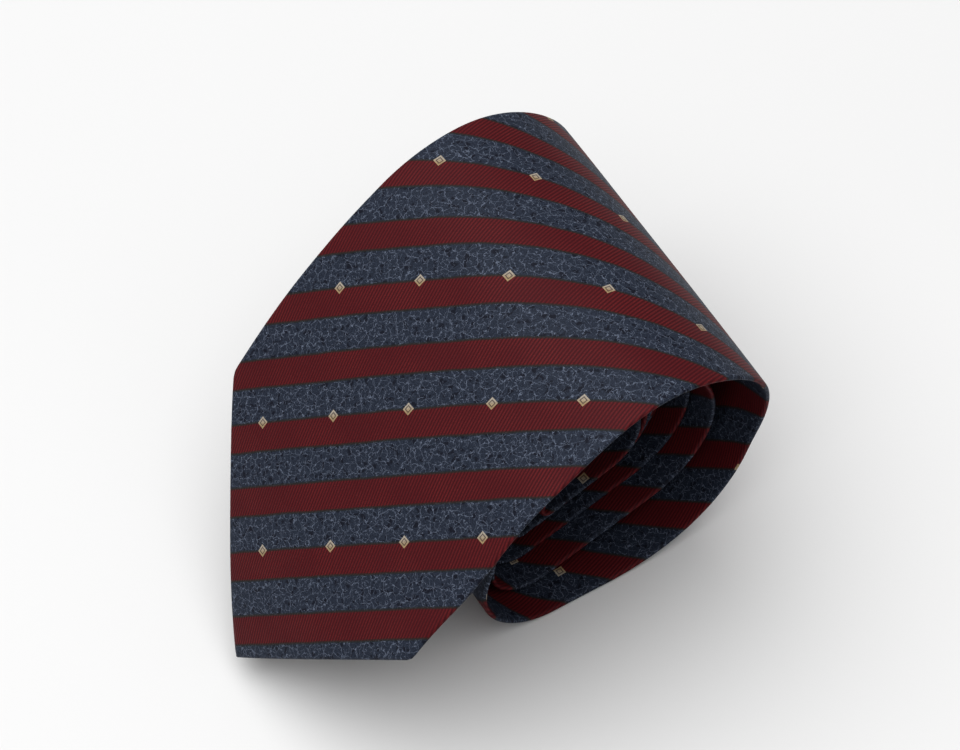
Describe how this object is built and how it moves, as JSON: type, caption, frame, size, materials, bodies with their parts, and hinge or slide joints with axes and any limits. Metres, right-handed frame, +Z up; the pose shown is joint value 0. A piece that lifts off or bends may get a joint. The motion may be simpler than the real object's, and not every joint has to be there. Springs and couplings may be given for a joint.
{
  "type": "necktie",
  "caption": "Rolled silk necktie resting on its side, with the wide blade's pointed end lying free over a loose roll.",
  "frame": {"origin": "on the surface the roll rests on, under the centre of the rolled tie's box", "axes": "+Z up; +Y along the roll's axis, away from the open end that faces the viewer; -X towards the blade's pointed tip"},
  "size_m": [0.1294, 0.0998, 0.0839],
  "materials": {
    "striped_silk": "woven silk twill in burgundy and slate-blue stripes, soft sheen",
    "wool_interlining": "brushed wool canvas, matt",
    "tipping_silk": "plain dark lining silk, smooth",
    "silk_thread": "twisted silk sewing thread",
    "label_cloth": "woven ribbon, blank, satin"
  },
  "bodies": {
    "roll": {"blade_shell_wound": "striped_silk", "neck_shell": "striped_silk", "tail_shell": "striped_silk", "interlining_wound": "wool_interlining", "tail_tipping": "tipping_silk", "tail_bar_tack": "silk_thread", "keeper_loop": "striped_silk", "brand_label": "label_cloth", "neck_seam": "silk_thread", "tail_seam": "silk_thread", "slip_stitch_wound": "silk_thread"},
    "blade_end": {"blade_shell_end": "striped_silk", "interlining_end": "wool_interlining", "blade_tipping": "tipping_silk", "front_bar_tack": "silk_thread", "care_label": "label_cloth", "slip_stitch_end": "silk_thread"}
  },
  "joints": [
    {"name": "blade_lift", "type": "hinge", "parent": "roll", "child": "blade_end", "pos_m": [0.01253, 0, 0.07986], "axis": [0, 1, 0], "range_deg": [0, 85]}
  ]
}
